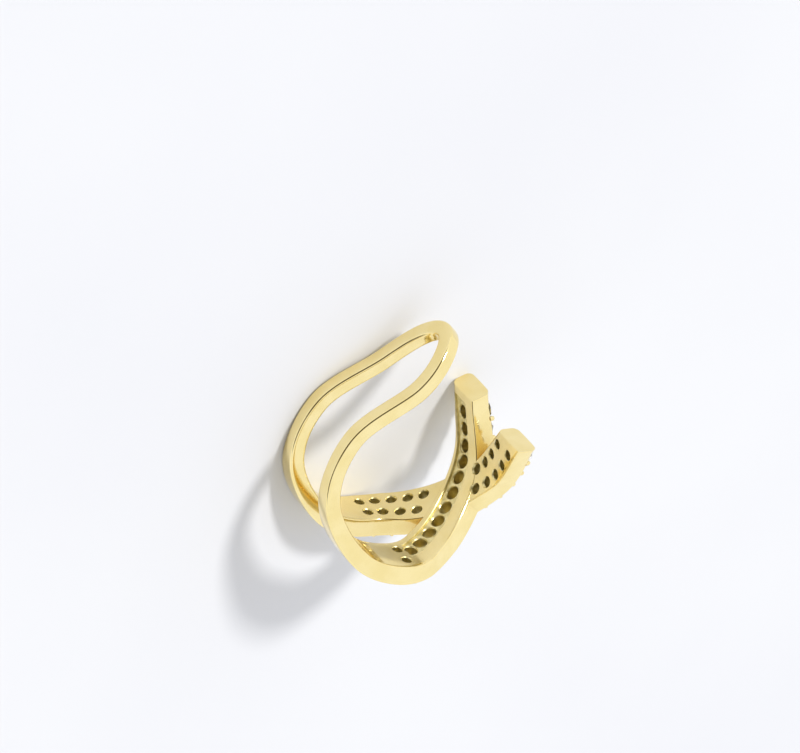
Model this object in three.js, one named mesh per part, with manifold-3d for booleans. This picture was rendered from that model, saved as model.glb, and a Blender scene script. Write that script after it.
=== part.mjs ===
// Ear cuff: a gold hairpin loop whose two legs run round into stone-set arms that cross in an X.
// Millimetres, +Z up. The cuff lies on its side, as it rests by itself, with its opening towards +X.
import * as THREE from 'three';
import { mergeVertices } from 'three/addons/utils/BufferGeometryUtils.js';
import Module from 'manifold-3d';

const wasm = await Module();
wasm.setup();

// Centreline of both legs, seen along the ring's axis
const CENTRELINE_LENGTH = 14.45;
const CENTRELINE_DEPTH = 12.49;

// Half distances between the centrelines of the two legs, along the ring's axis
const LOOP_SPREAD = 2.0;
const ROOT_SPREAD = 2.92;
const OUTER_END_SPREAD = 3.25;
const INNER_END_SPREAD = 2.98;
const ROOT_BEND = 0.65;
const LOOP_TIP_REACH = 4.15;

// Places along the centreline, as shares of it from the loop's tip to the arm ends
const ROOT_AT = 0.607;
const CROSS_AT = 0.809;
const THICKEN_FROM = 0.36;
const WIDEN_FROM = 0.3;
const SECTION_TURN_FROM = 0.45;
const SECTION_TURN_TO = 0.58;
const CROSS_SPAN = 0.1;
const END_ROUND_FROM = 0.93;

// Cross-sections: thickness is radial, width runs along the ring's axis
const WIRE_THICKNESS = 1.12;
const WIRE_WIDTH = 1.06;
const WIRE_CORNER = 0.2;
const ARM_ROOT_THICKNESS = 1.44;
const ARM_END_THICKNESS = 1.48;
const ARM_ROOT_WIDTH = 3.1;
const ARM_END_WIDTH = 2.52;
const ARM_CORNER = 0.12;
const ARM_END_CORNER = 0.4;
const INNER_END_SLANT = 0.34;

// How far the inner arm sinks towards the ear where the arms cross
const INNER_ARM_SINK = 0.1;

// Round brilliant stones
const STONE_DIAMETER = 1.05;
const TABLE_DIAMETER = 0.6;
const CROWN_HEIGHT = 0.16;
const GIRDLE_HEIGHT = 0.04;
const PAVILION_DEPTH = 0.44;
const STONE_SIDES = 8;

// Setting: two rows on each arm's outer face
const STONE_PITCH = 1.2;
const STONES_PER_ROW = 12;
const ROW_OFFSET = 0.625;
const OUTER_ARM_END_MARGIN = 1.0;
const INNER_ARM_END_MARGIN = 0.95;
const INNER_ROOT_STONES = 5;
const INNER_ROOT_MARGIN = 0.65;
const GIRDLE_RISE = 0.05;
const SEAT_GAP = 0.05;
const BEAD_RADIUS = 0.17;
const BEAD_HEIGHT = 0.21;
const BEAD_ROOT = 0.15;
const BEAD_TOP_RADIUS = 0.09;
const EDGE_BEAD_OFFSET = 0.5;
const BEAD_HOLD_REACH = 1.03;
const WALL_CLEARANCE = 0.08;

// Windows drilled from the inner face, and the inner arm's lengthwise groove
const WINDOW_DIAMETER = 0.68;
const BLIND_REACH = 0.15;
const BLIND_SHIFT = 0.2;
const GROOVE_WINDOW_DIAMETER = 0.9;
const GROOVE_WINDOW_MARGIN = 1.34;
const GROOVE_ROOT_GAP = 1.15;
const GROOVE_WINDOWS = 11;
const GROOVE_WIDTH = 1.35;
const GROOVE_DEPTH = 0.16;
const GROOVE_SHIFT = 0.3;
const GROOVE_END_MARGIN = 0.5;
const GROOVE_ROOF = 0.16;

// Fineness of the faceted solids, and how far a cutter runs past the face that it opens
const TIP_STEPS = 7;
const WIRE_STEP = 0.95;
const ARM_STEP = 0.62;
const CORNER_STEPS = 2;
const WINDOW_SIDES = 8;
const BEAD_SIDES = 6;
const TABLE_STEPS = 600;
const CUT_PAST = 0.6;

// Small distances: between neighbouring frames, and below which corners or heights count as one
const FRAME_STEP = 0.01;
const WELD = 1e-4;
const LEVEL_ANGLE = 1e-6;
const STEEPEST_COSINE = 0.5;
const SETTLE_TRIES = 12;

// Shares of the centreline's length and depth, from the loop's tip round the ring to the arm ends
const PROFILE = [
  { along: 1.0, back: 0.837 },
  { along: 0.736, back: 0.874 },
  { along: 0.406, back: 1.0 },
  { along: 0.118, back: 0.849 },
  { along: 0.0, back: 0.479 },
  { along: 0.11, back: 0.163 },
  { along: 0.337, back: 0.0 },
  { along: 0.612, back: 0.011 },
  { along: 0.841, back: 0.211 },
];

const OUTER_ARM = -1;
const INNER_ARM = 1;
const RING_AXIS = new THREE.Vector3(0, 0, 1);
const profile = new THREE.CatmullRomCurve3(
  PROFILE.map((row) => new THREE.Vector3(row.along * CENTRELINE_LENGTH, row.back * CENTRELINE_DEPTH, 0)),
  false,
  'catmullrom',
);
profile.arcLengthDivisions = TABLE_STEPS;
const PROFILE_RUN = profile.getLength();

function smoothMin(a, b, blend) {
  const near = Math.max(blend - Math.abs(a - b), 0) / blend;
  return Math.min(a, b) - (near * near * blend) / 4;
}

// Centreline of one leg at a run along the profile; a run below 0 goes over the tip to the other leg
function centre(side, run) {
  if (run < 0) return centre(-side, -run);
  const share = profile.getUtoTmapping(Math.min(run / PROFILE_RUN, 1));
  const point = profile.getPoint(share);
  const tangent = profile.getTangent(share);
  const outward = new THREE.Vector3(tangent.y, -tangent.x, 0);
  const loopSpread = LOOP_SPREAD + ((ROOT_SPREAD - LOOP_SPREAD) * share) / ROOT_AT;
  const endSpread = side === OUTER_ARM ? OUTER_END_SPREAD : INNER_END_SPREAD;
  const armSpread = (-endSpread * (share - CROSS_AT)) / (1 - CROSS_AT);
  const tipShare = Math.min(run / LOOP_TIP_REACH, 1);
  const tipFactor = Math.sqrt(1 - (1 - tipShare) ** 2);
  const spread = smoothMin(loopSpread, armSpread, ROOT_BEND) * tipFactor;
  const bell = Math.exp(-(((share - CROSS_AT) / CROSS_SPAN) ** 2));
  const offset = side === INNER_ARM ? -bell * INNER_ARM_SINK : 0;
  return { share, outward, point: point.addScaledVector(outward, offset).setZ(side * spread) };
}

// Centre, directions and sizes of a leg's cross-section
function frameAt(side, run) {
  const { share, outward, point } = centre(side, run);
  const back = Math.min(run, PROFILE_RUN - FRAME_STEP);
  const along = centre(side, back + FRAME_STEP).point.sub(centre(side, back - FRAME_STEP).point).normalize();
  const normal = outward.clone().addScaledVector(along, -outward.dot(along)).normalize();
  const square = normal.clone().cross(along);
  const turn = THREE.MathUtils.smoothstep(share, SECTION_TURN_FROM, SECTION_TURN_TO);
  const across = square.clone().lerp(RING_AXIS.clone().divideScalar(Math.max(square.z, STEEPEST_COSINE)), turn);
  const armShare = THREE.MathUtils.clamp((share - ROOT_AT) / (1 - ROOT_AT), 0, 1);
  const thickening = THREE.MathUtils.smoothstep(share, THICKEN_FROM, ROOT_AT);
  const widening = THREE.MathUtils.smoothstep(share, WIDEN_FROM, ROOT_AT);
  const armThickness = THREE.MathUtils.lerp(ARM_ROOT_THICKNESS, ARM_END_THICKNESS, armShare);
  const armWidth = THREE.MathUtils.lerp(ARM_ROOT_WIDTH, ARM_END_WIDTH, armShare);
  return {
    point, along, normal, square, across,
    thickness: THREE.MathUtils.lerp(WIRE_THICKNESS, armThickness, thickening),
    width: THREE.MathUtils.lerp(WIRE_WIDTH, armWidth, widening),
    corner: THREE.MathUtils.lerp(WIRE_CORNER, ARM_CORNER, widening),
    endRounding: THREE.MathUtils.smoothstep(share, END_ROUND_FROM, 1) * (ARM_END_CORNER - ARM_CORNER),
  };
}

// Length of a leg's centreline up to each of many runs along the profile
function legTable(side) {
  const rows = [{ run: 0, length: 0 }];
  for (let i = 1; i <= TABLE_STEPS; i += 1) {
    const run = (PROFILE_RUN * i) / TABLE_STEPS;
    const last = rows[rows.length - 1];
    rows.push({ run, length: last.length + centre(side, run).point.distanceTo(centre(side, last.run).point) });
  }
  return rows;
}

const LEG_TABLES = { [OUTER_ARM]: legTable(OUTER_ARM), [INNER_ARM]: legTable(INNER_ARM) };

// Run along the profile at a distance back from the end of an arm
function runFromEnd(side, distance) {
  const table = LEG_TABLES[side];
  const wanted = table[table.length - 1].length - distance;
  const next = Math.max(table.findIndex((row) => row.length >= wanted), 1);
  const [a, b] = [table[next - 1], table[next]];
  return THREE.MathUtils.mapLinear(wanted, a.length, b.length, a.run, b.run);
}

// A point on a leg: square is the distance from the centreline across the face, out is along the normal
function place(side, distance, square, out) {
  const frame = frameAt(side, runFromEnd(side, distance));
  const point = frame.point.clone().addScaledVector(frame.square, square).addScaledVector(frame.normal, out);
  return { ...frame, point };
}

// Closed solid through rings of points, all with the same number of corners
function loft(rings) {
  const sides = rings[0].length;
  const positions = rings.flat().flatMap((p) => [p.x, p.y, p.z]);
  const index = [];
  for (let r = 0; r < rings.length - 1; r += 1) {
    for (let i = 0; i < sides; i += 1) {
      const j = (i + 1) % sides;
      const [a, b, c, d] = [r * sides + i, r * sides + j, (r + 1) * sides + j, (r + 1) * sides + i];
      index.push(a, b, c, a, c, d);
    }
  }
  const last = (rings.length - 1) * sides;
  for (let i = 1; i < sides - 1; i += 1) {
    index.push(0, i + 1, i);
    index.push(last, last + i, last + i + 1);
  }
  const geometry = new THREE.BufferGeometry();
  geometry.setAttribute('position', new THREE.Float32BufferAttribute(positions, 3));
  geometry.setIndex(index);
  return geometry;
}

function enclosedVolume(position, index) {
  const [a, b, c] = [new THREE.Vector3(), new THREE.Vector3(), new THREE.Vector3()];
  const moment = new THREE.Vector3();
  let volume = 0;
  for (let i = 0; i < index.count; i += 3) {
    a.fromBufferAttribute(position, index.getX(i));
    b.fromBufferAttribute(position, index.getX(i + 1));
    c.fromBufferAttribute(position, index.getX(i + 2));
    const part = a.dot(b.clone().cross(c)) / 6;
    volume += part;
    moment.addScaledVector(a.clone().add(b).add(c), part / 4);
  }
  return { volume, centroid: moment.divideScalar(volume) };
}

// A closed mesh as a solid for joining and cutting
function solidOf(geometry) {
  geometry.deleteAttribute('normal');
  geometry.deleteAttribute('uv');
  const merged = mergeVertices(geometry, WELD);
  const { array: vertProperties } = merged.getAttribute('position');
  const corners = Array.from(merged.index.array);
  if (enclosedVolume(merged.getAttribute('position'), merged.index).volume < 0) corners.reverse();
  const mesh = new wasm.Mesh({ numProp: 3, vertProperties, triVerts: new Uint32Array(corners) });
  return new wasm.Manifold(mesh);
}

function geometryOf(solid) {
  const { vertProperties, triVerts } = solid.getMesh();
  const geometry = new THREE.BufferGeometry();
  geometry.setAttribute('position', new THREE.BufferAttribute(vertProperties, 3));
  geometry.setIndex(new THREE.BufferAttribute(triVerts, 1));
  return geometry;
}

// Rounded rectangle as [normal, across] pairs; the second corner, inside and near, stays sharp at the ends
function roundedOutline({ thickness, width, corner, endRounding }) {
  const outline = [];
  for (let quarter = 0; quarter < 4; quarter += 1) {
    const radius = corner + (quarter === 1 ? 0 : endRounding);
    const n = [1, -1, -1, 1][quarter] * (thickness / 2 - radius);
    const a = [1, 1, -1, -1][quarter] * (width / 2 - radius);
    for (let i = 0; i <= CORNER_STEPS; i += 1) {
      const angle = ((quarter + i / CORNER_STEPS) * Math.PI) / 2;
      outline.push([n + radius * Math.cos(angle), a + radius * Math.sin(angle)]);
    }
  }
  return outline;
}

// Slant carries the outer side of an end further along than its inner side
function ringAt(frame, outline, slant = 0) {
  return outline.map(([n, a]) => frame.point.clone()
    .addScaledVector(frame.normal, n)
    .addScaledVector(frame.across, a)
    .addScaledVector(frame.along, slant * (n + frame.thickness / 2)));
}

function stationsBetween(from, to, step) {
  const count = Math.ceil((to - from) / step);
  return Array.from({ length: count + 1 }, (_, i) => from + ((to - from) * i) / count);
}

// One half of the casting, from the middle of the loop's tip to the end of its arm
function legSolid(side) {
  const tip = Array.from({ length: TIP_STEPS }, (_, i) => (
    LOOP_TIP_REACH * (1 - Math.cos((i / TIP_STEPS) * (Math.PI / 2)))
  ));
  const rootRun = PROFILE_RUN * WIDEN_FROM;
  const runs = [
    ...tip,
    ...stationsBetween(LOOP_TIP_REACH, rootRun, WIRE_STEP),
    ...stationsBetween(rootRun, PROFILE_RUN, ARM_STEP).slice(1),
  ];
  return solidOf(loft(runs.map((run) => {
    const frame = frameAt(side, run);
    const slant = side === INNER_ARM && run === PROFILE_RUN ? INNER_END_SLANT : 0;
    return ringAt(frame, roundedOutline(frame), slant);
  })));
}

// Offset of a point from a leg's centreline, measured across that leg's face towards the upper side
function offsetAcross(side, point) {
  let best = { gap: Infinity, run: 0 };
  for (const { run } of LEG_TABLES[side]) {
    const gap = centre(side, run).point.distanceTo(point);
    if (gap < best.gap) best = { gap, run };
  }
  const frame = frameAt(side, best.run);
  return { offset: point.clone().sub(frame.point).dot(frame.square), halfWidth: frame.width / 2 };
}

// Distance from the inner arm's end to where, towards the root, it comes out from under the outer arm
function crossingEdge() {
  const table = LEG_TABLES[INNER_ARM];
  const clearOf = ({ run }) => {
    const { offset, halfWidth } = offsetAcross(OUTER_ARM, centre(INNER_ARM, run).point);
    return Math.abs(offset) - halfWidth;
  };
  let i = table.findIndex(({ run }) => centre(INNER_ARM, run).share >= CROSS_AT);
  while (clearOf(table[i]) < 0) i -= 1;
  const [a, b] = [table[i], table[i + 1]];
  return table[table.length - 1].length - THREE.MathUtils.mapLinear(0, clearOf(a), clearOf(b), a.length, b.length);
}

const CROSSING_EDGE = crossingEdge();

// Distance from the arm's end to its pair of stones k; the inner arm's first pairs keep to the crossing
function stationOf(side, k) {
  if (side === INNER_ARM && k <= INNER_ROOT_STONES) {
    return CROSSING_EDGE + INNER_ROOT_MARGIN + STONE_PITCH * (INNER_ROOT_STONES - 1 - k);
  }
  const margin = side === OUTER_ARM ? OUTER_ARM_END_MARGIN : INNER_ARM_END_MARGIN;
  return margin + STONE_PITCH * (STONES_PER_ROW - 1 - k);
}

// Both rows of an arm: the row of sign 1 lies on the side that the arm climbs towards
function stoneSites(side) {
  const climb = -side;
  const sites = [];
  for (const sign of [-1, 1]) {
    for (let k = 0; k < STONES_PER_ROW; k += 1) {
      const station = stationOf(side, k);
      const { along, square } = frameAt(side, runFromEnd(side, station));
      const slant = Math.abs(along.z / square.z);
      const distance = station - sign * ROW_OFFSET * slant;
      sites.push({ side, sign, index: k, slant, distance, square: climb * sign * ROW_OFFSET });
    }
  }
  return sites;
}

// The inner arm's stones stop where the outer arm lies over them
function siteIsOpen(site) {
  if (site.side === OUTER_ARM) return true;
  const spot = place(site.side, site.distance, site.square, 0).point;
  const { offset, halfWidth } = offsetAcross(OUTER_ARM, spot);
  return Math.abs(offset) > halfWidth + STONE_DIAMETER / 2 + SEAT_GAP + WALL_CLEARANCE;
}

const SITES = [...stoneSites(OUTER_ARM), ...stoneSites(INNER_ARM)].filter(siteIsOpen);

// Girdle plane's centre on the outer face, with the directions of the stone
function girdleAt(site) {
  const frame = frameAt(site.side, runFromEnd(site.side, site.distance));
  return place(site.side, site.distance, site.square, frame.thickness / 2 + GIRDLE_RISE);
}

function basisOf(spot) {
  const side = spot.along.clone().cross(spot.normal).normalize();
  return new THREE.Matrix4().makeBasis(spot.along, spot.normal, side).setPosition(spot.point);
}

function turned(outline, sides, spot) {
  const points = outline.map(([radius, height]) => new THREE.Vector2(radius, height));
  return new THREE.LatheGeometry(points, sides).applyMatrix4(basisOf(spot));
}

function brilliant(spot) {
  const radius = STONE_DIAMETER / 2;
  return turned([
    [0, -PAVILION_DEPTH - GIRDLE_HEIGHT],
    [radius, -GIRDLE_HEIGHT],
    [radius, 0],
    [TABLE_DIAMETER / 2, CROWN_HEIGHT],
    [0, CROWN_HEIGHT],
  ], STONE_SIDES, spot);
}

// Room for a stone, open to the outside, with a window through the arm or a blind point
function seat(spot, opensInside) {
  const radius = STONE_DIAMETER / 2 + SEAT_GAP;
  const slope = (PAVILION_DEPTH * 2) / STONE_DIAMETER;
  const shoulder = -GIRDLE_HEIGHT - SEAT_GAP;
  const windowRadius = WINDOW_DIAMETER / 2;
  const throat = opensInside
    ? [[0, -spot.thickness - CUT_PAST], [windowRadius, -spot.thickness - CUT_PAST],
      [windowRadius, shoulder - (radius - windowRadius) * slope]]
    : [[0, shoulder - radius * slope]];
  return turned([...throat, [radius, shoulder], [radius, CUT_PAST], [0, CUT_PAST]], STONE_SIDES, spot);
}

// The outer arm's windows stay blind over the inner arm, and the inner arm's where its groove runs
function seats() {
  return SITES.map((site) => {
    const spot = girdleAt(site);
    if (site.side === INNER_ARM) return solidOf(seat(spot, site.index === 0));
    const { offset, halfWidth } = offsetAcross(INNER_ARM, spot.point);
    return solidOf(seat(spot, Math.abs(offset + BLIND_SHIFT) > halfWidth + BLIND_REACH));
  });
}

// The inner arm's middle windows rise from the groove, which lies a little to the arm's lower side
const GROOVE_LAST_WINDOW = stationOf(INNER_ARM, 0) - GROOVE_ROOT_GAP;
const GROOVE_WINDOW_PITCH = (GROOVE_LAST_WINDOW - GROOVE_WINDOW_MARGIN) / (GROOVE_WINDOWS - 1);

function grooveWindows() {
  return Array.from({ length: GROOVE_WINDOWS }, (_, k) => {
    const spot = place(INNER_ARM, GROOVE_WINDOW_MARGIN + GROOVE_WINDOW_PITCH * k, -GROOVE_SHIFT, 0);
    const top = spot.thickness / 2 - GROOVE_ROOF;
    const bottom = -spot.thickness / 2 - CUT_PAST;
    const radius = GROOVE_WINDOW_DIAMETER / 2;
    const outline = [[0, bottom], [radius, bottom], [radius, top], [0, top]];
    return solidOf(turned(outline, WINDOW_SIDES, spot));
  });
}

function groove() {
  const to = runFromEnd(INNER_ARM, GROOVE_END_MARGIN);
  const from = runFromEnd(INNER_ARM, GROOVE_LAST_WINDOW + GROOVE_WINDOW_PITCH / 2);
  return solidOf(loft(stationsBetween(from, to, ARM_STEP).map((run) => {
    const frame = frameAt(INNER_ARM, run);
    const [low, high] = [-frame.thickness / 2 - CUT_PAST, -frame.thickness / 2 + GROOVE_DEPTH];
    const [upper, lower] = [GROOVE_WIDTH / 2 - GROOVE_SHIFT, -GROOVE_WIDTH / 2 - GROOVE_SHIFT];
    return ringAt(frame, [[high, upper], [low, upper], [low, lower], [high, lower]]);
  })));
}

// Gripping beads stand in the gaps between three stones and between two stones along each edge
function beadSites() {
  const beads = [];
  for (const { side, sign, slant, distance, square } of [...stoneSites(OUTER_ARM), ...stoneSites(INNER_ARM)]) {
    const climb = -side;
    beads.push({ side, distance: distance - STONE_PITCH / 2, square: square + climb * sign * EDGE_BEAD_OFFSET });
    if (sign > 0) continue;
    for (const part of [1 / 3, 2 / 3]) {
      const forward = part * (STONE_PITCH + 2 * ROW_OFFSET * slant);
      beads.push({ side, distance: distance - forward, square: square + climb * part * 2 * ROW_OFFSET });
    }
  }
  return beads.filter((bead) => bead.distance > BEAD_RADIUS);
}

function beads() {
  const stones = SITES.map((site) => ({ side: site.side, point: girdleAt(site).point }));
  const shoulder = BEAD_HEIGHT - (BEAD_RADIUS - BEAD_TOP_RADIUS);
  const outline = [
    [0, -BEAD_ROOT], [BEAD_RADIUS, -BEAD_ROOT], [BEAD_RADIUS, shoulder], [BEAD_TOP_RADIUS, BEAD_HEIGHT], [0, BEAD_HEIGHT],
  ];
  const solids = [];
  for (const bead of beadSites()) {
    const frame = frameAt(bead.side, runFromEnd(bead.side, bead.distance));
    const spot = place(bead.side, bead.distance, bead.square, frame.thickness / 2);
    const held = stones.filter((stone) => (
      stone.side === bead.side && stone.point.distanceTo(spot.point) < BEAD_HOLD_REACH
    ));
    const { offset, halfWidth } = offsetAcross(OUTER_ARM, spot.point);
    const buried = bead.side === INNER_ARM && Math.abs(offset) < halfWidth + BEAD_RADIUS;
    if (held.length < 2 || buried) continue;
    solids.push(solidOf(turned(outline, BEAD_SIDES, spot)));
  }
  return solids;
}

// Rotation that lays the cuff on its three lowest points, tipped about them as gravity would
function settle(points, centroid) {
  const turn = new THREE.Quaternion();
  const at = (point) => point.clone().applyQuaternion(turn);
  const flat = (vector) => vector.clone().setZ(0);
  const lowest = () => points.reduce((best, point) => (at(point).z < at(best).z ? point : best));
  function tip(pivot, towards) {
    let first = { angle: Math.PI, point: pivot };
    for (const point of points) {
      const arm = at(point).sub(at(pivot));
      const reach = arm.dot(towards);
      const angle = Math.atan2(arm.z, reach);
      if (reach > WELD && angle > LEVEL_ANGLE && angle < first.angle) first = { angle, point };
    }
    turn.premultiply(new THREE.Quaternion().setFromAxisAngle(RING_AXIS.clone().cross(towards), first.angle));
    return first.point;
  }
  const a = lowest();
  const b = tip(a, flat(at(centroid).sub(at(a))).normalize());
  let edge = [a, b];
  for (let tries = 0; tries < SETTLE_TRIES; tries += 1) {
    const [p, q] = edge;
    const line = flat(at(q).sub(at(p))).normalize();
    const sideways = new THREE.Vector3(-line.y, line.x, 0);
    const towards = sideways.multiplyScalar(Math.sign(at(centroid).sub(at(p)).dot(sideways)));
    const c = tip(p, towards);
    const outside = [[p, c, q], [q, c, p]].find(([u, v, other]) => {
      const along = flat(at(v).sub(at(u)));
      const normal = new THREE.Vector3(-along.y, along.x, 0);
      return at(centroid).sub(at(u)).dot(normal) * at(other).sub(at(u)).dot(normal) < 0;
    });
    if (!outside) return turn;
    edge = [outside[0], outside[1]];
  }
  return turn;
}

const gold = new THREE.MeshStandardMaterial({ name: 'gold', color: 0xe9cf86, roughness: 0.16, metalness: 1 });
const crystal = new THREE.MeshStandardMaterial({ name: 'crystal', color: 0xf4f6fa, roughness: 0.03, metalness: 0 });

function cuffFrame() {
  const casting = wasm.Manifold.union([legSolid(OUTER_ARM), legSolid(INNER_ARM), ...beads()]);
  const cuts = wasm.Manifold.union([groove(), ...grooveWindows(), ...seats()]);
  const mesh = new THREE.Mesh(geometryOf(casting.subtract(cuts)), gold);
  mesh.name = 'cuff_frame';
  return mesh;
}

function stone(site) {
  const arm = site.side === OUTER_ARM ? 'outer' : 'inner';
  const row = site.square < 0 ? 'lower' : 'upper';
  const mesh = new THREE.Mesh(geometryOf(solidOf(brilliant(girdleAt(site)))), crystal);
  mesh.name = `stone_${arm}_${row}_${site.index + 1}`;
  return mesh;
}

const cuff = new THREE.Group();
cuff.add(cuffFrame(), ...SITES.map(stone));

const corners = cuff.children.flatMap((mesh) => {
  const position = mesh.geometry.getAttribute('position');
  return Array.from({ length: position.count }, (_, i) => new THREE.Vector3().fromBufferAttribute(position, i));
});
const casting = cuff.children[0].geometry;
cuff.quaternion.copy(settle(corners, enclosedVolume(casting.getAttribute('position'), casting.index).centroid));
const box = new THREE.Box3().setFromPoints(corners.map((point) => point.clone().applyQuaternion(cuff.quaternion)));
const middle = box.getCenter(new THREE.Vector3());
cuff.position.set(-middle.x, -middle.y, -box.min.z);

export default cuff;
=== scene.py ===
"""Looks of the ear cuff: a polished gold casting with fine settings, cut stones, floor, light and camera."""

import math

import bpy
import numpy as np
from mathutils import Matrix, Vector


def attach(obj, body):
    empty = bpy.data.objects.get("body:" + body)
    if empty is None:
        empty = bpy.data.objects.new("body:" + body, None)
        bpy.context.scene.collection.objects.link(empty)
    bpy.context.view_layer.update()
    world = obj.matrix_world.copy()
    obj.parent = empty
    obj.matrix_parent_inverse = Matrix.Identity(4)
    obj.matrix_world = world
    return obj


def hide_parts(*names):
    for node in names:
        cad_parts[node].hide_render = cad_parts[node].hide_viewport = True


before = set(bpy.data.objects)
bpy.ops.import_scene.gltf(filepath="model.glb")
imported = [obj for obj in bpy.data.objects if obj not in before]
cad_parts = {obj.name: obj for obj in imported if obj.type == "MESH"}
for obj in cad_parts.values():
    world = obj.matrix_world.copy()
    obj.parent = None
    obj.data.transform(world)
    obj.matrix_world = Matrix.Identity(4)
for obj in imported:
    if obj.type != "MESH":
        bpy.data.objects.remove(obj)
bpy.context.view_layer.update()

# Sizes repeated from the part's source, in millimetres
CENTRELINE_LENGTH = 14.45
CENTRELINE_DEPTH = 12.49
LOOP_SPREAD = 2.0
ROOT_SPREAD = 2.92
OUTER_END_SPREAD = 3.25
INNER_END_SPREAD = 2.98
ROOT_BEND = 0.65
LOOP_TIP_REACH = 4.15
ROOT_AT = 0.607
CROSS_AT = 0.809
CROSS_SPAN = 0.1
END_ROUND_FROM = 0.93
THICKEN_FROM = 0.36
WIDEN_FROM = 0.3
SECTION_TURN_FROM = 0.45
SECTION_TURN_TO = 0.58
WIRE_THICKNESS = 1.12
WIRE_WIDTH = 1.06
WIRE_CORNER = 0.2
ARM_ROOT_THICKNESS = 1.44
ARM_END_THICKNESS = 1.48
ARM_ROOT_WIDTH = 3.1
ARM_END_WIDTH = 2.52
ARM_CORNER = 0.12
ARM_END_CORNER = 0.4
ARM_STEP = 0.62
INNER_END_SLANT = 0.34
INNER_ARM_SINK = 0.1
STONE_DIAMETER = 1.05
TABLE_DIAMETER = 0.6
CROWN_HEIGHT = 0.16
GIRDLE_HEIGHT = 0.04
PAVILION_DEPTH = 0.44
STONE_PITCH = 1.2
STONES_PER_ROW = 12
ROW_OFFSET = 0.625
OUTER_ARM_END_MARGIN = 1.0
INNER_ARM_END_MARGIN = 0.95
INNER_ROOT_STONES = 5
INNER_ROOT_MARGIN = 0.65
GIRDLE_RISE = 0.05
SEAT_GAP = 0.05
BEAD_RADIUS = 0.17
BEAD_HEIGHT = 0.21
BEAD_ROOT = 0.15
EDGE_BEAD_OFFSET = 0.5
BEAD_HOLD_REACH = 1.03
WINDOW_DIAMETER = 0.68
BLIND_REACH = 0.15
BLIND_SHIFT = 0.2
GROOVE_WINDOW_DIAMETER = 0.9
GROOVE_WINDOW_MARGIN = 1.34
GROOVE_ROOT_GAP = 1.15
GROOVE_WINDOWS = 11
GROOVE_WIDTH = 1.35
GROOVE_DEPTH = 0.16
GROOVE_SHIFT = 0.3
GROOVE_END_MARGIN = 0.5
GROOVE_ROOF = 0.16
PROFILE = np.array([
    (1.0, 0.837), (0.736, 0.874), (0.406, 1.0), (0.118, 0.849), (0.0, 0.479),
    (0.11, 0.163), (0.337, 0.0), (0.612, 0.011), (0.841, 0.211),
]) * (CENTRELINE_LENGTH, CENTRELINE_DEPTH)

# Fine detail that only the looks have, in millimetres
FACE_DOME = 0.03
WINDOW_FLARE = 0.05
POLISH_LOSS = 0.006

# Fineness of the meshes, and how far cutters reach past the metal
RING_STEP = 0.14
TIP_FINENESS = 1.2
TABLE_STEPS = 600
CUTTER_SIDES = 24
BEAD_SIDES = 12
BEAD_DOME_DEGREES = (0, 22, 45, 68)
SHARP_DEGREES = 32
CUT_PAST = 0.6

# How many times deeper than wide the flare of a window's or groove's edge is
FLARE_STEEPNESS = 1.5

# Colours from and to which each material's tint wanders, and its roughness from and to
GOLD_TINTS = (0.90, 0.74, 0.34), (0.94, 0.79, 0.40)
GOLD_ROUGHNESS = 0.07, 0.16
# The recess tints wander darker and more olive than the gold's: painted shade in grooves and windows
RECESS_SHADE_TINTS = (0.66, 0.56, 0.24), (0.94, 0.83, 0.46)
RECESS_ROUGHNESS = 0.28, 0.48
CRYSTAL_TINTS = (0.95, 0.96, 0.98), (1.0, 1.0, 1.0)
CRYSTAL_ROUGHNESS = 0.0, 0.04
FLOOR_TINTS = (0.71, 0.71, 0.73), (0.74, 0.74, 0.75)

# Painted shade: the gold's colour is darkened where the casting hides it from the open, within this reach in
# millimetres
PAINTED_SHADE_REACH = 4.5
PAINTED_SHADE_SAMPLES = 8
PAINTED_SHADE_TINT = (0.68, 0.54, 0.32)
PAINTED_SHADE_FROM = 0.25
PAINTED_SHADE_TO = 0.85

# The stones' mirror-like patches: the pattern's values from FROM to TO turn from clear to mirror
CRYSTAL_INDEX = 2.15
SPARKLE_SCALE = 3.6
SPARKLE_FROM = 0.42
SPARKLE_TO = 0.58
SPARKLE_STRENGTH = 0.85

# Where a brilliant's inner corners lie, as shares of its crown's and its pavilion's reach and height
STAR_REACH = 0.52
STAR_HEIGHT = 0.56
LOWER_HALF_REACH = 0.24
LOWER_HALF_DEPTH = 0.8

OUTER_ARM = -1
INNER_ARM = 1
UP = np.array([0.0, 0.0, 1.0])
METRES = 0.001


# Centreline and cross-section of the legs, with the formulas of the part's source
def smoothstep(x, low, high):
    t = np.clip((x - low) / (high - low), 0, 1)
    return t * t * (3 - 2 * t)


def lerp(a, b, t):
    return a + (b - a) * t


def unit(v):
    return v / np.linalg.norm(v, axis=-1, keepdims=True)


def dot(a, b):
    return np.sum(a * b, axis=-1, keepdims=True)


def profile_point(share):
    spans = len(PROFILE) - 1
    points = np.vstack([2 * PROFILE[0] - PROFILE[1], PROFILE, 2 * PROFILE[-1] - PROFILE[-2]])
    x = np.clip(share, 0, 1) * spans
    i = np.minimum(x.astype(int), spans - 1)
    f = (x - i)[:, None]
    p0, p1, p2, p3 = (points[i + k] for k in range(4))
    v0, v1 = (p2 - p0) / 2, (p3 - p1) / 2
    return (2 * p1 - 2 * p2 + v0 + v1) * f**3 + (-3 * p1 + 3 * p2 - 2 * v0 - v1) * f**2 + v0 * f + p1


TABLE_SHARES = np.linspace(0, 1, TABLE_STEPS + 1)
TABLE_POINTS = profile_point(TABLE_SHARES)
TABLE_RUNS = np.concatenate([[0], np.cumsum(np.linalg.norm(np.diff(TABLE_POINTS, axis=0), axis=1))])
PROFILE_RUN = TABLE_RUNS[-1]


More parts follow.
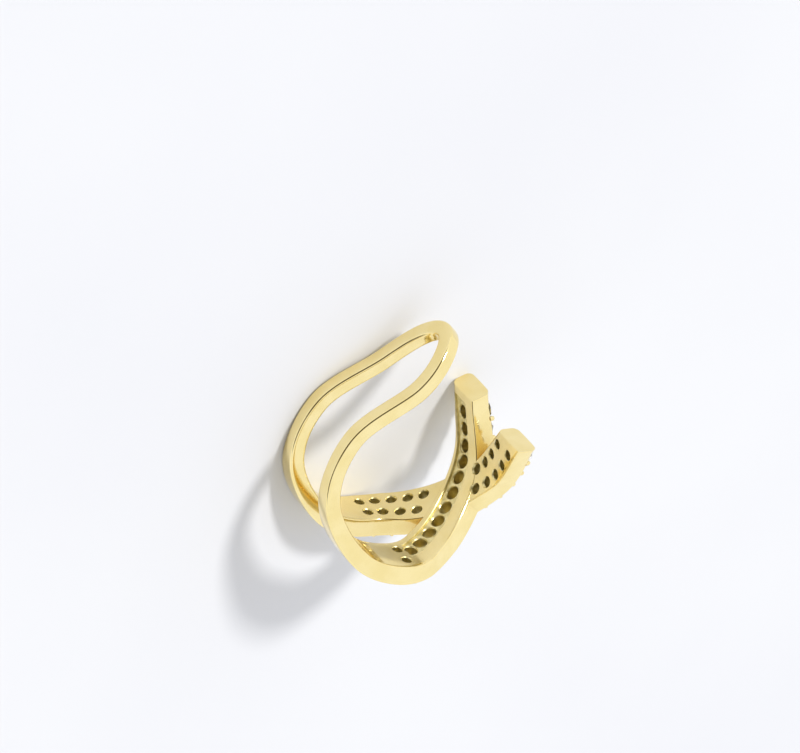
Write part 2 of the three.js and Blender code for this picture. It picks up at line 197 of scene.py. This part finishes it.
def centre(side, run):
    """Share, outward direction and centre point at each run.

    A run below 0 goes over the tip to the other leg.
    """
    side = np.where(run < 0, -side, side)
    run = np.abs(run)
    share = np.interp(run, TABLE_RUNS, TABLE_SHARES)
    point = profile_point(share)
    reach = 1e-4
    tangent = unit(profile_point(share + reach) - profile_point(share - reach))
    outward = np.column_stack([tangent[:, 1], -tangent[:, 0], np.zeros(len(run))])
    loop_spread = LOOP_SPREAD + (ROOT_SPREAD - LOOP_SPREAD) * share / ROOT_AT
    end_spread = np.where(side == OUTER_ARM, OUTER_END_SPREAD, INNER_END_SPREAD)
    arm_spread = -end_spread * (share - CROSS_AT) / (1 - CROSS_AT)
    near = np.maximum(ROOT_BEND - np.abs(loop_spread - arm_spread), 0) / ROOT_BEND
    spread = np.minimum(loop_spread, arm_spread) - near * near * ROOT_BEND / 4
    tip_share = np.minimum(run / LOOP_TIP_REACH, 1)
    spread = spread * np.sqrt(1 - (1 - tip_share) ** 2)
    bell = np.exp(-(((share - CROSS_AT) / CROSS_SPAN) ** 2))
    offset = np.where(side == INNER_ARM, -bell * INNER_ARM_SINK, 0)
    return share, outward, np.column_stack([point, side * spread]) + outward * offset[:, None]


def frames(side, run):
    """Centre, directions and sizes of a leg's cross-section at each run."""
    run = np.atleast_1d(np.asarray(run, float))
    step = 0.01
    share, outward, point = centre(side, run)
    back = np.minimum(run, PROFILE_RUN - step)
    along = unit(centre(side, back + step)[2] - centre(side, back - step)[2])
    normal = unit(outward - along * dot(outward, along))
    square = np.cross(normal, along)
    turn = smoothstep(share, SECTION_TURN_FROM, SECTION_TURN_TO)[:, None]
    across = lerp(square, UP / np.maximum(square[:, 2:], 0.5), turn)
    arm_share = np.clip((share - ROOT_AT) / (1 - ROOT_AT), 0, 1)
    thickening = smoothstep(share, THICKEN_FROM, ROOT_AT)
    widening = smoothstep(share, WIDEN_FROM, ROOT_AT)
    return {
        "point": point, "along": along, "normal": normal, "square": square, "across": across,
        "thickness": lerp(WIRE_THICKNESS, lerp(ARM_ROOT_THICKNESS, ARM_END_THICKNESS, arm_share), thickening),
        "width": lerp(WIRE_WIDTH, lerp(ARM_ROOT_WIDTH, ARM_END_WIDTH, arm_share), widening),
        "corner": lerp(WIRE_CORNER, ARM_CORNER, widening),
        "end_rounding": smoothstep(share, END_ROUND_FROM, 1) * (ARM_END_CORNER - ARM_CORNER),
    }


def leg_lengths(side):
    points = centre(side, np.linspace(0, PROFILE_RUN, TABLE_STEPS + 1))[2]
    return np.concatenate([[0], np.cumsum(np.linalg.norm(np.diff(points, axis=0), axis=1))])


LEG_RUNS = np.linspace(0, PROFILE_RUN, TABLE_STEPS + 1)
LEG_LENGTHS = {side: leg_lengths(side) for side in (OUTER_ARM, INNER_ARM)}


def run_from_end(side, distance):
    lengths = LEG_LENGTHS[side]
    wanted = np.atleast_1d(lengths[-1] - distance)
    slope = (LEG_RUNS[-1] - LEG_RUNS[-2]) / (lengths[-1] - lengths[-2])
    past = np.maximum(wanted - lengths[-1], 0) * slope
    return np.interp(wanted, lengths, LEG_RUNS) + past


def spot_at(side, distance, square, out):
    """One place on a leg with its directions: square is measured across the face, out along the normal."""
    found = {key: value[0] for key, value in frames(side, run_from_end(side, distance)).items()}
    found["point"] = found["point"] + found["square"] * square + found["normal"] * out
    return found


def offset_across(side, point):
    points = centre(side, LEG_RUNS)[2]
    run = LEG_RUNS[np.argmin(np.linalg.norm(points - point, axis=1))]
    near = frames(side, run)
    return float(np.dot(point - near["point"][0], near["square"][0])), float(near["width"][0]) / 2


def crossing_edge():
    """Distance from the inner arm's end to where, towards the root, it comes out from under the outer arm."""
    share, _, points = centre(INNER_ARM, LEG_RUNS)

    def clear_of(i):
        offset, half = offset_across(OUTER_ARM, points[i])
        return abs(offset) - half

    i = int(np.argmax(share >= CROSS_AT))
    while clear_of(i) < 0:
        i -= 1
    lengths = LEG_LENGTHS[INNER_ARM]
    a, b = clear_of(i), clear_of(i + 1)
    return lengths[-1] - lerp(lengths[i], lengths[i + 1], a / (a - b))


CROSSING_EDGE = crossing_edge()


# Stones and where they sit
def station_of(side, k):
    if side == INNER_ARM and k <= INNER_ROOT_STONES:
        return CROSSING_EDGE + INNER_ROOT_MARGIN + STONE_PITCH * (INNER_ROOT_STONES - 1 - k)
    margin = OUTER_ARM_END_MARGIN if side == OUTER_ARM else INNER_ARM_END_MARGIN
    return margin + STONE_PITCH * (STONES_PER_ROW - 1 - k)


def stone_sites():
    sites = []
    for side in (OUTER_ARM, INNER_ARM):
        for sign in (-1, 1):
            for k in range(STONES_PER_ROW):
                station = station_of(side, k)
                here = spot_at(side, station, 0, 0)
                slant = abs(here["along"][2] / here["square"][2])
                square = -side * sign * ROW_OFFSET
                arm = "outer" if side == OUTER_ARM else "inner"
                row = "lower" if square < 0 else "upper"
                sites.append({
                    "side": side, "sign": sign, "index": k, "slant": slant, "square": square,
                    "distance": station - sign * ROW_OFFSET * slant, "node": f"stone_{arm}_{row}_{k + 1}",
                })
    return sites


def girdle(site):
    thickness = spot_at(site["side"], site["distance"], 0, 0)["thickness"]
    return spot_at(site["side"], site["distance"], site["square"], thickness / 2 + GIRDLE_RISE)


ALL_SITES = stone_sites()
STONES = [site for site in ALL_SITES if site["node"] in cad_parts]
for found_stone in STONES:
    found_stone["spot"] = girdle(found_stone)


# The cuff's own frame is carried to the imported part's by the stones, which both share
def node_middle(name):
    corners = np.array([v.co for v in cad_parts[name].data.vertices], float) / METRES
    return np.unique(np.round(corners, 5), axis=0).mean(axis=0)


def rigid_fit(source, target):
    a, b = source.mean(axis=0), target.mean(axis=0)
    u, _, vt = np.linalg.svd((source - a).T @ (target - b))
    flip = np.diag([1, 1, np.sign(np.linalg.det(vt.T @ u.T))])
    rotation = vt.T @ flip @ u.T
    return rotation, b - rotation @ a


# A packed stone's corners are three rings, of table, upper and lower girdle, and the tip
RING_CORNERS = 8
STONE_CORNERS = 3 * RING_CORNERS + 1
ADDED_HEIGHTS = RING_CORNERS * (CROWN_HEIGHT - GIRDLE_HEIGHT) - PAVILION_DEPTH - GIRDLE_HEIGHT
STONE_MIDDLE = ADDED_HEIGHTS / STONE_CORNERS
TURN, SHIFT = rigid_fit(
    np.array([s["spot"]["point"] + s["spot"]["normal"] * STONE_MIDDLE for s in STONES]),
    np.array([node_middle(s["node"]) for s in STONES]),
)


def to_part(points):
    return (np.asarray(points) @ TURN.T + SHIFT) * METRES


# Mesh making
def mesh_object(name, points, faces):
    mesh = bpy.data.meshes.new(name)
    mesh.from_pydata([tuple(p) for p in points], [], faces)
    mesh.update()
    made = bpy.data.objects.new(name, mesh)
    bpy.context.scene.collection.objects.link(made)
    return made


def section_pattern(arc_steps, thick_steps, wide_steps):
    """Corner shares, unit arc directions and share of end rounding round a rectangle with divided sides."""
    rows = []
    corners = [(1, 1), (-1, 1), (-1, -1), (1, -1)]
    rounded = [1, 0, 1, 1]
    for quarter, (n, a) in enumerate(corners):
        for i in range(arc_steps + 1):
            angle = (quarter + i / arc_steps) * math.pi / 2
            rows.append((n, a, math.cos(angle), math.sin(angle), rounded[quarter]))
        next_n, next_a = corners[(quarter + 1) % 4]
        steps = thick_steps if quarter % 2 == 0 else wide_steps
        angle = (quarter + 1) * math.pi / 2
        for i in range(1, steps):
            t = i / steps
            share = lerp(rounded[quarter], rounded[(quarter + 1) % 4], t)
            rows.append((lerp(n, next_n, t), lerp(a, next_a, t), math.cos(angle), math.sin(angle), share))
    return np.array(rows).T


def sweep(name, side, runs, pattern):
    at = frames(side, runs)
    kn, ka, cn, ca, rounded = pattern
    thickness = at["thickness"][:, None] - 2 * POLISH_LOSS
    width = at["width"][:, None] - 2 * POLISH_LOSS
    radius = at["corner"][:, None] + at["end_rounding"][:, None] * rounded
    n = kn * (thickness / 2 - radius) + cn * radius
    a = ka * (width / 2 - radius) + ca * radius
    n_share, a_share = n / (thickness / 2), a / (width / 2)
    n = n - n_share * FACE_DOME * a_share**2
    a = a - a_share * FACE_DOME * n_share**2
    slant = INNER_END_SLANT if side == INNER_ARM else 0
    last = np.clip(1 - (PROFILE_RUN - runs) / ARM_STEP, 0, 1)[:, None]
    further = slant * last * (n + thickness / 2)
    points = at["point"][:, None] + n[..., None] * at["normal"][:, None]
    points = points + a[..., None] * at["across"][:, None]
    return loft(name, points + further[..., None] * at["along"][:, None])


def loft(name, rings):
    count, around = rings.shape[:2]
    faces = []
    for r in range(count - 1):
        for i in range(around):
            j = (i + 1) % around
            faces.append((r * around + i, r * around + j, (r + 1) * around + j, (r + 1) * around + i))
    faces.append(tuple(reversed(range(around))))
    last = (count - 1) * around
    faces.append(tuple(last + i for i in range(around)))
    return mesh_object(name, rings.reshape(-1, 3), faces)


def lathe(name, outline, sides, spot):
    """A solid of revolution about the spot's normal; the outline runs from axis to axis."""
    side = unit(np.cross(spot["along"], spot["normal"]))
    angles = np.arange(sides) * 2 * math.pi / sides
    circle = np.cos(angles)[:, None] * spot["along"] + np.sin(angles)[:, None] * side
    points = [spot["point"] + spot["normal"] * outline[0][1]]
    for radius, height in outline[1:-1]:
        points.extend(spot["point"] + spot["normal"] * height + circle * radius)
    points.append(spot["point"] + spot["normal"] * outline[-1][1])
    rings = len(outline) - 2
    faces = []
    for i in range(sides):
        j = (i + 1) % sides
        faces.append((0, 1 + j, 1 + i))
        for r in range(rings - 1):
            low, high = 1 + r * sides, 1 + (r + 1) * sides
            faces.append((low + i, low + j, high + j, high + i))
        last = 1 + (rings - 1) * sides
        faces.append((last + i, last + j, len(points) - 1))
    return mesh_object(name, points, faces)


def outward_facing(made):
    """Turns a closed mesh's faces outwards if its volume comes out negative."""
    mesh = made.data
    mesh.calc_loop_triangles()
    places = [mesh.vertices[i].co for t in mesh.loop_triangles for i in t.vertices]
    corners = np.array(places, float).reshape(-1, 3, 3)
    if np.einsum("ij,ij->", corners[:, 0], np.cross(corners[:, 1], corners[:, 2])) < 0:
        mesh.flip_normals()
    return made


def combine(base, others, operation):
    group = bpy.data.collections.new("operands")
    for other in others:
        group.objects.link(outward_facing(other))
    modifier = base.modifiers.new("combine", "BOOLEAN")
    modifier.operand_type = "COLLECTION"
    modifier.collection = group
    modifier.operation = operation
    modifier.solver = "MANIFOLD"
    modifier.material_mode = "TRANSFER"
    bpy.context.view_layer.update()
    made = bpy.data.meshes.new_from_object(base.evaluated_get(bpy.context.evaluated_depsgraph_get()))
    base.modifiers.clear()
    base.data = made
    for other in others:
        bpy.data.objects.remove(other)
    bpy.data.collections.remove(group)
    return base


# Materials
def new_material(name):
    material = bpy.data.materials.new(name)
    material.use_nodes = True
    tree = material.node_tree
    shader = tree.nodes["Principled BSDF"]
    return material, tree, shader


def millimetres(tree):
    place = tree.nodes.new("ShaderNodeTexCoord")
    scale = tree.nodes.new("ShaderNodeVectorMath")
    scale.operation = "SCALE"
    scale.inputs["Scale"].default_value = 1 / METRES
    tree.links.new(place.outputs["Object"], scale.inputs[0])
    return scale.outputs[0]


def noise(tree, place, scale, detail=3.0):
    node = tree.nodes.new("ShaderNodeTexNoise")
    node.inputs["Scale"].default_value = scale
    node.inputs["Detail"].default_value = detail
    tree.links.new(place, node.inputs["Vector"])
    return node.outputs["Fac"]


def ramp(tree, factor, low, high, start=0.35, end=0.65):
    node = tree.nodes.new("ShaderNodeValToRGB")
    node.color_ramp.elements[0].position = start
    node.color_ramp.elements[1].position = end
    node.color_ramp.elements[0].color = (*low, 1)
    node.color_ramp.elements[1].color = (*high, 1)
    tree.links.new(factor, node.inputs["Fac"])
    return node.outputs["Color"]


def spread(tree, factor, low, high):
    node = tree.nodes.new("ShaderNodeMapRange")
    node.inputs["To Min"].default_value = low
    node.inputs["To Max"].default_value = high
    tree.links.new(factor, node.inputs["Value"])
    return node.outputs["Result"]


def gold_material():
    material, tree, shader = new_material("gold_polished")
    place = millimetres(tree)
    shader.inputs["Metallic"].default_value = 1.0
    tint = ramp(tree, noise(tree, place, 0.7), *GOLD_TINTS)
    # Painted shade: ambient occlusion multiplies the gold's colour darker in crevices and under other parts
    # of the casting
    hidden = tree.nodes.new("ShaderNodeAmbientOcclusion")
    hidden.samples = PAINTED_SHADE_SAMPLES
    hidden.only_local = True
    hidden.inputs["Distance"].default_value = PAINTED_SHADE_REACH * METRES
    shade = tree.nodes.new("ShaderNodeMixRGB")
    shade.blend_type = "MULTIPLY"
    shade.inputs["Fac"].default_value = 1.0
    painted_shade = ramp(tree, hidden.outputs["AO"], PAINTED_SHADE_TINT, (1.0, 1.0, 1.0), PAINTED_SHADE_FROM, PAINTED_SHADE_TO)
    tree.links.new(tint, shade.inputs["Color1"])
    tree.links.new(painted_shade, shade.inputs["Color2"])
    tree.links.new(shade.outputs["Color"], shader.inputs["Base Color"])
    tree.links.new(spread(tree, noise(tree, place, 2.2), *GOLD_ROUGHNESS), shader.inputs["Roughness"])
    bump = tree.nodes.new("ShaderNodeBump")
    bump.inputs["Strength"].default_value = 0.05
    bump.inputs["Distance"].default_value = 0.02 * METRES
    tree.links.new(noise(tree, place, 9.0, 4.0), bump.inputs["Height"])
    tree.links.new(bump.outputs["Normal"], shader.inputs["Normal"])
    return material


def shaded_recess_material():
    """Gold inside grooves and windows, rougher where the polishing wheel doesn't reach, with a tint that
    wanders darker and more olive than the polished gold's: painted shade.
    """
    material, tree, shader = new_material("gold_recess_shaded")
    place = millimetres(tree)
    shader.inputs["Metallic"].default_value = 1.0
    tint = ramp(tree, noise(tree, place, 1.8, 4.0), *RECESS_SHADE_TINTS)
    tree.links.new(tint, shader.inputs["Base Color"])
    tree.links.new(spread(tree, noise(tree, place, 3.5), *RECESS_ROUGHNESS), shader.inputs["Roughness"])
    bump = tree.nodes.new("ShaderNodeBump")
    bump.inputs["Strength"].default_value = 0.35
    bump.inputs["Distance"].default_value = 0.03 * METRES
    tree.links.new(noise(tree, place, 7.0, 4.0), bump.inputs["Height"])
    tree.links.new(bump.outputs["Normal"], shader.inputs["Normal"])
    return material


def crystal_material():
    material, tree, shader = new_material("crystal_clear")
    place = millimetres(tree)
    shader.inputs["Transmission Weight"].default_value = 1.0
    shader.inputs["IOR"].default_value = CRYSTAL_INDEX
    tint = ramp(tree, noise(tree, place, 1.4), *CRYSTAL_TINTS)
    tree.links.new(tint, shader.inputs["Base Color"])
    sparkle = tree.nodes.new("ShaderNodeTexVoronoi")
    sparkle.inputs["Scale"].default_value = SPARKLE_SCALE
    tree.links.new(place, sparkle.inputs["Vector"])
    flash = tree.nodes.new("ShaderNodeMapRange")
    flash.inputs["From Min"].default_value = SPARKLE_FROM
    flash.inputs["From Max"].default_value = SPARKLE_TO
    flash.inputs["To Max"].default_value = SPARKLE_STRENGTH
    tree.links.new(sparkle.outputs["Color"], flash.inputs["Value"])
    tree.links.new(flash.outputs["Result"], shader.inputs["Metallic"])
    tree.links.new(spread(tree, noise(tree, place, 6.0), *CRYSTAL_ROUGHNESS), shader.inputs["Roughness"])
    return material


# The casting
LEG_PATTERN = section_pattern(arc_steps=6, thick_steps=8, wide_steps=20)


def leg_runs():
    tip_steps = int(LOOP_TIP_REACH * TIP_FINENESS / RING_STEP)
    tip = LOOP_TIP_REACH * (1 - np.cos(np.linspace(0, math.pi / 2, tip_steps, endpoint=False)))
    count = int((PROFILE_RUN - LOOP_TIP_REACH) / RING_STEP)
    return np.concatenate([tip, np.linspace(LOOP_TIP_REACH, PROFILE_RUN, count)])


def bead_sites():
    for site in ALL_SITES:
        side, sign, climb = site["side"], site["sign"], -site["side"]
        edge = site["square"] + climb * sign * EDGE_BEAD_OFFSET
        yield side, site["distance"] - STONE_PITCH / 2, edge
        if sign > 0:
            continue
        for part in (1 / 3, 2 / 3):
            forward = part * (STONE_PITCH + 2 * ROW_OFFSET * site["slant"])
            yield side, site["distance"] - forward, site["square"] + climb * part * 2 * ROW_OFFSET


def beads():
    made = []
    for side, distance, square in bead_sites():
        if distance <= BEAD_RADIUS:
            continue
        thickness = spot_at(side, distance, 0, 0)["thickness"]
        spot = spot_at(side, distance, square, thickness / 2)
        held = [s for s in STONES if s["side"] == side
                and np.linalg.norm(s["spot"]["point"] - spot["point"]) < BEAD_HOLD_REACH]
        offset, half = offset_across(OUTER_ARM, spot["point"])
        if len(held) < 2 or (side == INNER_ARM and abs(offset) < half + BEAD_RADIUS):
            continue
        r = BEAD_RADIUS
        dome = [(r * math.cos(a), BEAD_HEIGHT - r + r * math.sin(a)) for a in np.radians(BEAD_DOME_DEGREES)]
        outline = [(0, -BEAD_ROOT), (r, -BEAD_ROOT), *dome, (0, BEAD_HEIGHT)]
        made.append(lathe("bead", outline, BEAD_SIDES, spot))
    return made


def seat(spot, opens_inside):
    radius = STONE_DIAMETER / 2 + SEAT_GAP
    slope = PAVILION_DEPTH * 2 / STONE_DIAMETER
    shoulder = -GIRDLE_HEIGHT - SEAT_GAP
    window = WINDOW_DIAMETER / 2
    floor = -spot["thickness"] - GIRDLE_RISE
    throat = [(0, shoulder - radius * slope)]
    if opens_inside:
        throat = [
            (0, floor - CUT_PAST), (window + WINDOW_FLARE + CUT_PAST / 2, floor - CUT_PAST),
            (window + WINDOW_FLARE, floor), (window, floor + WINDOW_FLARE * FLARE_STEEPNESS),
            (window, shoulder - (radius - window) * slope),
        ]
    return lathe("seat", [*throat, (radius, shoulder), (radius, CUT_PAST), (0, CUT_PAST)], CUTTER_SIDES, spot)


def seats():
    made = []
    for site in STONES:
        spot = site["spot"]
        if site["side"] == INNER_ARM:
            made.append(seat(spot, site["index"] == 0))
            continue
        offset, half = offset_across(INNER_ARM, spot["point"])
        made.append(seat(spot, abs(offset + BLIND_SHIFT) > half + BLIND_REACH))
    return made


GROOVE_LAST_WINDOW = station_of(INNER_ARM, 0) - GROOVE_ROOT_GAP
GROOVE_WINDOW_PITCH = (GROOVE_LAST_WINDOW - GROOVE_WINDOW_MARGIN) / (GROOVE_WINDOWS - 1)


def groove_windows():
    made = []
    for k in range(GROOVE_WINDOWS):
        spot = spot_at(INNER_ARM, GROOVE_WINDOW_MARGIN + GROOVE_WINDOW_PITCH * k, -GROOVE_SHIFT, 0)
        top = spot["thickness"] / 2 - GROOVE_ROOF
        low = -spot["thickness"] / 2
        radius = GROOVE_WINDOW_DIAMETER / 2
        flared = radius + WINDOW_FLARE
        outline = [
            (0, low - CUT_PAST), (flared, low - CUT_PAST), (flared, low + GROOVE_DEPTH),
            (radius, low + GROOVE_DEPTH + WINDOW_FLARE * FLARE_STEEPNESS), (radius, top), (0, top),
        ]
        made.append(lathe("window", outline, CUTTER_SIDES, spot))
    return made


def groove():
    root_distance = GROOVE_LAST_WINDOW + GROOVE_WINDOW_PITCH / 2
    ends = run_from_end(INNER_ARM, np.array([root_distance, GROOVE_END_MARGIN]))
    runs = np.linspace(ends[0], ends[1], int((ends[1] - ends[0]) / RING_STEP))
    at = frames(INNER_ARM, runs)
    inner = -at["thickness"] / 2
    half = GROOVE_WIDTH / 2
    corners = [
        (inner - CUT_PAST, half + WINDOW_FLARE + CUT_PAST / 2), (inner, half + WINDOW_FLARE),
        (inner + WINDOW_FLARE * FLARE_STEEPNESS, half), (inner + GROOVE_DEPTH, half),
    ]
    corners += [(n, -a) for n, a in reversed(corners)]
    rings = [at["point"] + n[:, None] * at["normal"] + (a - GROOVE_SHIFT) * at["across"] for n, a in corners]
    return loft("groove", np.stack(rings, axis=1))


legs = [
    outward_facing(sweep("gold_casting", side, leg_runs(), LEG_PATTERN))
    for side in (OUTER_ARM, INNER_ARM)
]
held_beads = beads()
cutters = [groove(), *groove_windows(), *seats()]
# Faces cut by the cutters take the recess material, whose darker tint is painted shade
for pieces, material in (([*legs, *held_beads], gold_material()), (cutters, shaded_recess_material())):
    for piece in pieces:
        piece.data.materials.append(material)
casting = combine(legs[0], [legs[1], *held_beads], "UNION")
casting = combine(casting, cutters, "DIFFERENCE")
casting.data.vertices.foreach_set("co", to_part(
    np.array([v.co for v in casting.data.vertices], float)).astype(np.float32).ravel())
casting.data.shade_smooth()
casting.data.set_sharp_from_angle(angle=math.radians(SHARP_DEGREES))
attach(casting, "root")
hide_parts("cuff_frame")


# Round brilliants with table, star, kite and girdle facets above, and mains and lower halves below
def brilliant_mesh(name, spot):
    radius = STONE_DIAMETER / 2
    table = TABLE_DIAMETER / 2
    side = unit(np.cross(spot["along"], spot["normal"]))

    def at(r, eighths, height):
        angle = eighths * math.pi / 4
        return (spot["point"] + spot["normal"] * height
                + (math.cos(angle) * spot["along"] + math.sin(angle) * side) * r)

    middle_r, middle_h = lerp(table, radius, STAR_REACH), CROWN_HEIGHT * STAR_HEIGHT
    lower_r, lower_h = radius * LOWER_HALF_REACH, -GIRDLE_HEIGHT - PAVILION_DEPTH * LOWER_HALF_DEPTH
    points, faces = [], []
    for i in range(8):
        points.append(at(table, i, CROWN_HEIGHT))
    for i in range(8):
        points.append(at(middle_r, i + 0.5, middle_h))
    for i in range(16):
        points.append(at(radius, i / 2, 0))
    for i in range(16):
        points.append(at(radius, i / 2, -GIRDLE_HEIGHT))
    for i in range(8):
        points.append(at(lower_r, i, lower_h))
    points.append(at(0, 0, -GIRDLE_HEIGHT - PAVILION_DEPTH))
    faces.append(tuple(range(8)))
    for i in range(8):
        j = (i + 1) % 8
        star, before = 8 + i, 8 + (i - 1) % 8
        faces.append((i, star, j))
        faces.append((i, before, 16 + 2 * i, star))
        faces.append((star, 16 + 2 * i, 16 + 2 * i + 1))
        faces.append((star, 16 + 2 * i + 1, 16 + (2 * i + 2) % 16))
        low, high = 32 + 2 * i, 32 + (2 * i + 2) % 16
        faces.append((48 + i, low, 32 + 2 * i + 1))
        faces.append((48 + j, 32 + 2 * i + 1, high))
        faces.append((56, 48 + i, 32 + 2 * i + 1, 48 + j))
    for i in range(16):
        j = (i + 1) % 16
        faces.append((16 + i, 32 + i, 32 + j, 16 + j))
    return outward_facing(mesh_object(name, to_part(points), faces))


brilliants = []
for site in STONES:
    stone = brilliant_mesh(site["node"].replace("stone", "brilliant"), site["spot"])
    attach(stone, "root")
    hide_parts(site["node"])
    brilliants.append(stone)


clear = crystal_material()
for stone in brilliants:
    stone.data.materials.append(clear)


# Floor, light and camera
def floor_material():
    material, tree, shader = new_material("floor_pale")
    place = millimetres(tree)
    tint = ramp(tree, noise(tree, place, 0.02), *FLOOR_TINTS)
    tree.links.new(tint, shader.inputs["Base Color"])
    shader.inputs["Roughness"].default_value = 0.9
    return material


FLOOR_HALF = 600
floor = mesh_object(
    "floor",
    np.array([(-1, -1, 0), (1, -1, 0), (1, 1, 0), (-1, 1, 0)]) * FLOOR_HALF * METRES,
    [(0, 1, 2, 3)],
)
floor.data.materials.append(floor_material())

CAMERA_ACROSS = np.array([0.66426, -0.58905, 0.46019])
CAMERA_UPWARD = np.array([0.74172, 0.44305, -0.50354])
CAMERA_BACK = np.array([0.09272, 0.67582, 0.73121])
CAMERA_DISTANCE = 250
NEAR_RING_MIDDLE = np.array([6.754, 6.122, 0])
AIM_LEFT = 0.37017
AIM_UP = 4.87765
CAMERA_AIM = NEAR_RING_MIDDLE - AIM_LEFT * CAMERA_ACROSS + AIM_UP * CAMERA_UPWARD
SENSOR_WIDTH = 36
FOCAL_PIXELS = 3902.4
IMAGE_WIDTH = 800

camera_data = bpy.data.cameras.new("camera")
camera_data.sensor_fit = "HORIZONTAL"
camera_data.sensor_width = SENSOR_WIDTH
camera_data.lens = FOCAL_PIXELS / IMAGE_WIDTH * SENSOR_WIDTH
camera_data.clip_start = 0.01
camera_data.clip_end = 10
camera = bpy.data.objects.new("camera", camera_data)
bpy.context.scene.collection.objects.link(camera)
axes = np.array([CAMERA_ACROSS, CAMERA_UPWARD, CAMERA_BACK]) @ TURN.T
camera.matrix_world = Matrix.Translation(
    Vector(to_part(CAMERA_AIM + CAMERA_BACK * CAMERA_DISTANCE))) @ Matrix(axes.T.tolist()).to_4x4()
bpy.context.scene.camera = camera

LIGHT_DIRECTION = np.array([0.66, 0.28, 0.70])
SUN_ENERGY = 2.1
SUN_DEGREES = 8


def towards(direction):
    """World direction of a direction given in the camera's own axes."""
    return Vector(unit(np.asarray(direction) @ axes))


sun_data = bpy.data.lights.new("sun", "SUN")
sun_data.energy = SUN_ENERGY
sun_data.angle = math.radians(SUN_DEGREES)
sun = bpy.data.objects.new("sun", sun_data)
bpy.context.scene.collection.objects.link(sun)
sun.rotation_euler = towards(LIGHT_DIRECTION).to_track_quat("Z", "Y").to_euler()

# A white studio, and dark spots in the camera's axes that the wire's rounded edges reflect as lines
STUDIO_WHITE = (1.03, 1.05, 1.09)
STUDIO_DARKS = [
    {"direction": (0.28, 0.30, 0.91), "within": 9, "fades_by": 27, "colour": (0.10, 0.08, 0.05)},
    {"direction": (0.0, 0.04, 1.0), "within": 9, "fades_by": 27, "colour": (0.10, 0.08, 0.05)},
    {"direction": (-0.30, -0.24, 0.92), "within": 9, "fades_by": 27, "colour": (0.10, 0.08, 0.05)},
    {"direction": (-0.46, -0.55, 0.70), "within": 8, "fades_by": 18, "colour": (0.16, 0.15, 0.14)},
]


def studio_world():
    world = bpy.data.worlds.new("studio")
    world.use_nodes = True
    tree = world.node_tree
    place = tree.nodes.new("ShaderNodeTexCoord").outputs["Generated"]
    colour = None
    for dark in STUDIO_DARKS:
        facing = tree.nodes.new("ShaderNodeVectorMath")
        facing.operation = "DOT_PRODUCT"
        facing.inputs[1].default_value = towards(dark["direction"])
        tree.links.new(place, facing.inputs[0])
        share = tree.nodes.new("ShaderNodeMapRange")
        share.interpolation_type = "SMOOTHSTEP"
        share.inputs["From Min"].default_value = math.cos(math.radians(dark["fades_by"]))
        share.inputs["From Max"].default_value = math.cos(math.radians(dark["within"]))
        tree.links.new(facing.outputs["Value"], share.inputs["Value"])
        mix = tree.nodes.new("ShaderNodeMixRGB")
        mix.inputs["Color1"].default_value = (*STUDIO_WHITE, 1)
        mix.inputs["Color2"].default_value = (*dark["colour"], 1)
        tree.links.new(share.outputs["Result"], mix.inputs["Fac"])
        if colour:
            tree.links.new(colour, mix.inputs["Color1"])
        colour = mix.outputs["Color"]
    tree.links.new(colour, tree.nodes["Background"].inputs["Color"])
    return world


bpy.context.scene.world = studio_world()
bpy.context.scene.view_settings.view_transform = "Standard"
